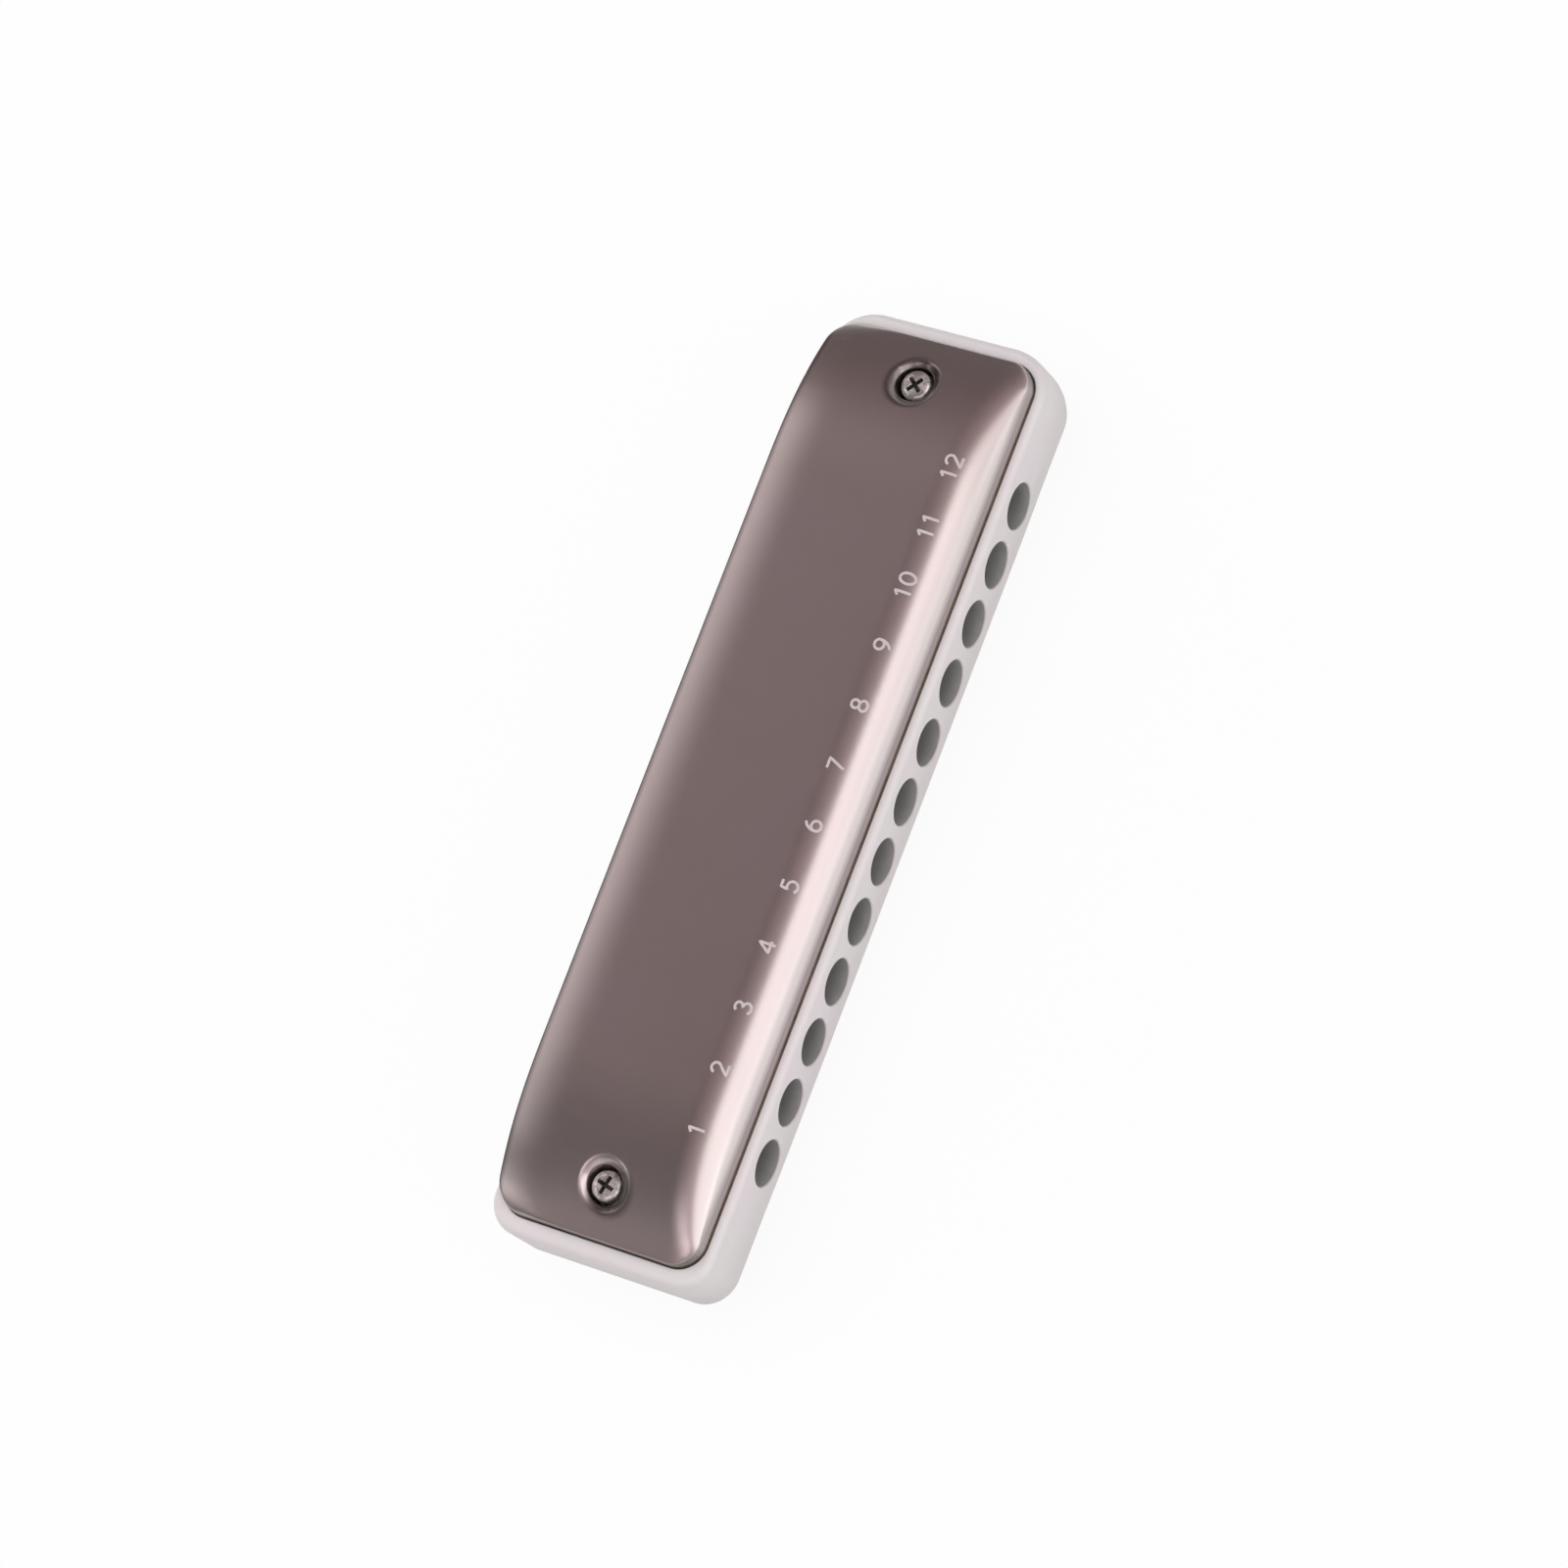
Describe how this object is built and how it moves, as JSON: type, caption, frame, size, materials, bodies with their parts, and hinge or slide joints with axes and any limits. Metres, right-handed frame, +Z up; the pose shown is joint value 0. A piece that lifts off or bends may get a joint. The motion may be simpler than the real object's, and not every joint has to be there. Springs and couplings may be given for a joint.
{
  "type": "diatonic harmonica",
  "caption": "Diatonic harmonica with a one-piece comb, round mouth holes, two pressed covers open at the back, and riveted reeds on two plates that swing through their slots.",
  "frame": {"origin": "under the middle of the lower cover's flat face, on the surface that the harmonica lies on", "axes": "+X from hole 1 to hole 12, -Y out of the mouth face towards the player, +Z up through the upper cover"},
  "size_m": [0.1174, 0.0296, 0.0208],
  "materials": {
    "comb": "pale silver, fine satin grain",
    "cover": "satin warm grey plating",
    "plate": "satin",
    "reed": "ground",
    "rivet": "satin",
    "fastener": "bright nickel"
  },
  "bodies": {
    "harmonica_body": {"comb": "comb", "upper_cover": "cover", "lower_cover": "cover", "blow_reed_plate": "plate", "draw_reed_plate": "plate", "blow_rivet_01": "rivet", "blow_rivet_02": "rivet", "blow_rivet_03": "rivet", "blow_rivet_04": "rivet", "blow_rivet_05": "rivet", "blow_rivet_06": "rivet", "blow_rivet_07": "rivet", "blow_rivet_08": "rivet", "blow_rivet_09": "rivet", "blow_rivet_10": "rivet", "blow_rivet_11": "rivet", "blow_rivet_12": "rivet", "draw_rivet_01": "rivet", "draw_rivet_02": "rivet", "draw_rivet_03": "rivet", "draw_rivet_04": "rivet", "draw_rivet_05": "rivet", "draw_rivet_06": "rivet", "draw_rivet_07": "rivet", "draw_rivet_08": "rivet", "draw_rivet_09": "rivet", "draw_rivet_10": "rivet", "draw_rivet_11": "rivet", "draw_rivet_12": "rivet", "cover_screw_left": "fastener", "cover_screw_right": "fastener", "cover_nut_left": "fastener", "cover_nut_right": "fastener", "plate_screw_left": "fastener", "plate_screw_right": "fastener", "plate_screw_back": "fastener"},
    "blow_reed_01": {"blow_reed_01": "reed"},
    "blow_reed_02": {"blow_reed_02": "reed"},
    "blow_reed_03": {"blow_reed_03": "reed"},
    "blow_reed_04": {"blow_reed_04": "reed"},
    "blow_reed_05": {"blow_reed_05": "reed"},
    "blow_reed_06": {"blow_reed_06": "reed"},
    "blow_reed_07": {"blow_reed_07": "reed"},
    "blow_reed_08": {"blow_reed_08": "reed"},
    "blow_reed_09": {"blow_reed_09": "reed"},
    "blow_reed_10": {"blow_reed_10": "reed"},
    "blow_reed_11": {"blow_reed_11": "reed"},
    "blow_reed_12": {"blow_reed_12": "reed"},
    "draw_reed_01": {"draw_reed_01": "reed"},
    "draw_reed_02": {"draw_reed_02": "reed"},
    "draw_reed_03": {"draw_reed_03": "reed"},
    "draw_reed_04": {"draw_reed_04": "reed"},
    "draw_reed_05": {"draw_reed_05": "reed"},
    "draw_reed_06": {"draw_reed_06": "reed"},
    "draw_reed_07": {"draw_reed_07": "reed"},
    "draw_reed_08": {"draw_reed_08": "reed"},
    "draw_reed_09": {"draw_reed_09": "reed"},
    "draw_reed_10": {"draw_reed_10": "reed"},
    "draw_reed_11": {"draw_reed_11": "reed"},
    "draw_reed_12": {"draw_reed_12": "reed"}
  },
  "joints": [
    {"name": "blow_reed_01_swing", "type": "hinge", "parent": "harmonica_body", "child": "blow_reed_01", "pos_m": [-0.04125, 0.00765, 0.01355], "axis": [1, 0, 0], "range_deg": [-4, 4], "stiffness_Nm_per_rad": 0.0593},
    {"name": "blow_reed_02_swing", "type": "hinge", "parent": "harmonica_body", "child": "blow_reed_02", "pos_m": [-0.03375, 0.00765, 0.01355], "axis": [1, 0, 0], "range_deg": [-4, 4], "stiffness_Nm_per_rad": 0.0625},
    {"name": "blow_reed_03_swing", "type": "hinge", "parent": "harmonica_body", "child": "blow_reed_03", "pos_m": [-0.02625, 0.00765, 0.01355], "axis": [1, 0, 0], "range_deg": [-4, 4], "stiffness_Nm_per_rad": 0.0659},
    {"name": "blow_reed_04_swing", "type": "hinge", "parent": "harmonica_body", "child": "blow_reed_04", "pos_m": [-0.01875, 0.00765, 0.01355], "axis": [1, 0, 0], "range_deg": [-4, 4], "stiffness_Nm_per_rad": 0.0694},
    {"name": "blow_reed_05_swing", "type": "hinge", "parent": "harmonica_body", "child": "blow_reed_05", "pos_m": [-0.01125, 0.00765, 0.01355], "axis": [1, 0, 0], "range_deg": [-4, 4], "stiffness_Nm_per_rad": 0.0732},
    {"name": "blow_reed_06_swing", "type": "hinge", "parent": "harmonica_body", "child": "blow_reed_06", "pos_m": [-0.00375, 0.00765, 0.01355], "axis": [1, 0, 0], "range_deg": [-4, 4], "stiffness_Nm_per_rad": 0.0771},
    {"name": "blow_reed_07_swing", "type": "hinge", "parent": "harmonica_body", "child": "blow_reed_07", "pos_m": [0.00375, 0.00765, 0.01355], "axis": [1, 0, 0], "range_deg": [-4, 4], "stiffness_Nm_per_rad": 0.0813},
    {"name": "blow_reed_08_swing", "type": "hinge", "parent": "harmonica_body", "child": "blow_reed_08", "pos_m": [0.01125, 0.00765, 0.01355], "axis": [1, 0, 0], "range_deg": [-4, 4], "stiffness_Nm_per_rad": 0.0857},
    {"name": "blow_reed_09_swing", "type": "hinge", "parent": "harmonica_body", "child": "blow_reed_09", "pos_m": [0.01875, 0.00765, 0.01355], "axis": [1, 0, 0], "range_deg": [-4, 4], "stiffness_Nm_per_rad": 0.0904},
    {"name": "blow_reed_10_swing", "type": "hinge", "parent": "harmonica_body", "child": "blow_reed_10", "pos_m": [0.02625, 0.00765, 0.01355], "axis": [1, 0, 0], "range_deg": [-4, 4], "stiffness_Nm_per_rad": 0.0952},
    {"name": "blow_reed_11_swing", "type": "hinge", "parent": "harmonica_body", "child": "blow_reed_11", "pos_m": [0.03375, 0.00765, 0.01355], "axis": [1, 0, 0], "range_deg": [-4, 4], "stiffness_Nm_per_rad": 0.1004},
    {"name": "blow_reed_12_swing", "type": "hinge", "parent": "harmonica_body", "child": "blow_reed_12", "pos_m": [0.04125, 0.00765, 0.01355], "axis": [1, 0, 0], "range_deg": [-4, 4], "stiffness_Nm_per_rad": 0.1058},
    {"name": "draw_reed_01_swing", "type": "hinge", "parent": "harmonica_body", "child": "draw_reed_01", "pos_m": [-0.04125, -0.00715, 0.00565], "axis": [1, 0, 0], "range_deg": [-4, 4], "stiffness_Nm_per_rad": 0.0593},
    {"name": "draw_reed_02_swing", "type": "hinge", "parent": "harmonica_body", "child": "draw_reed_02", "pos_m": [-0.03375, -0.00715, 0.00565], "axis": [1, 0, 0], "range_deg": [-4, 4], "stiffness_Nm_per_rad": 0.0625},
    {"name": "draw_reed_03_swing", "type": "hinge", "parent": "harmonica_body", "child": "draw_reed_03", "pos_m": [-0.02625, -0.00715, 0.00565], "axis": [1, 0, 0], "range_deg": [-4, 4], "stiffness_Nm_per_rad": 0.0659},
    {"name": "draw_reed_04_swing", "type": "hinge", "parent": "harmonica_body", "child": "draw_reed_04", "pos_m": [-0.01875, -0.00715, 0.00565], "axis": [1, 0, 0], "range_deg": [-4, 4], "stiffness_Nm_per_rad": 0.0694},
    {"name": "draw_reed_05_swing", "type": "hinge", "parent": "harmonica_body", "child": "draw_reed_05", "pos_m": [-0.01125, -0.00715, 0.00565], "axis": [1, 0, 0], "range_deg": [-4, 4], "stiffness_Nm_per_rad": 0.0732},
    {"name": "draw_reed_06_swing", "type": "hinge", "parent": "harmonica_body", "child": "draw_reed_06", "pos_m": [-0.00375, -0.00715, 0.00565], "axis": [1, 0, 0], "range_deg": [-4, 4], "stiffness_Nm_per_rad": 0.0771},
    {"name": "draw_reed_07_swing", "type": "hinge", "parent": "harmonica_body", "child": "draw_reed_07", "pos_m": [0.00375, -0.00715, 0.00565], "axis": [1, 0, 0], "range_deg": [-4, 4], "stiffness_Nm_per_rad": 0.0813},
    {"name": "draw_reed_08_swing", "type": "hinge", "parent": "harmonica_body", "child": "draw_reed_08", "pos_m": [0.01125, -0.00715, 0.00565], "axis": [1, 0, 0], "range_deg": [-4, 4], "stiffness_Nm_per_rad": 0.0857},
    {"name": "draw_reed_09_swing", "type": "hinge", "parent": "harmonica_body", "child": "draw_reed_09", "pos_m": [0.01875, -0.00715, 0.00565], "axis": [1, 0, 0], "range_deg": [-4, 4], "stiffness_Nm_per_rad": 0.0904},
    {"name": "draw_reed_10_swing", "type": "hinge", "parent": "harmonica_body", "child": "draw_reed_10", "pos_m": [0.02625, -0.00715, 0.00565], "axis": [1, 0, 0], "range_deg": [-4, 4], "stiffness_Nm_per_rad": 0.0952},
    {"name": "draw_reed_11_swing", "type": "hinge", "parent": "harmonica_body", "child": "draw_reed_11", "pos_m": [0.03375, -0.00715, 0.00565], "axis": [1, 0, 0], "range_deg": [-4, 4], "stiffness_Nm_per_rad": 0.1004},
    {"name": "draw_reed_12_swing", "type": "hinge", "parent": "harmonica_body", "child": "draw_reed_12", "pos_m": [0.04125, -0.00715, 0.00565], "axis": [1, 0, 0], "range_deg": [-4, 4], "stiffness_Nm_per_rad": 0.1058}
  ]
}
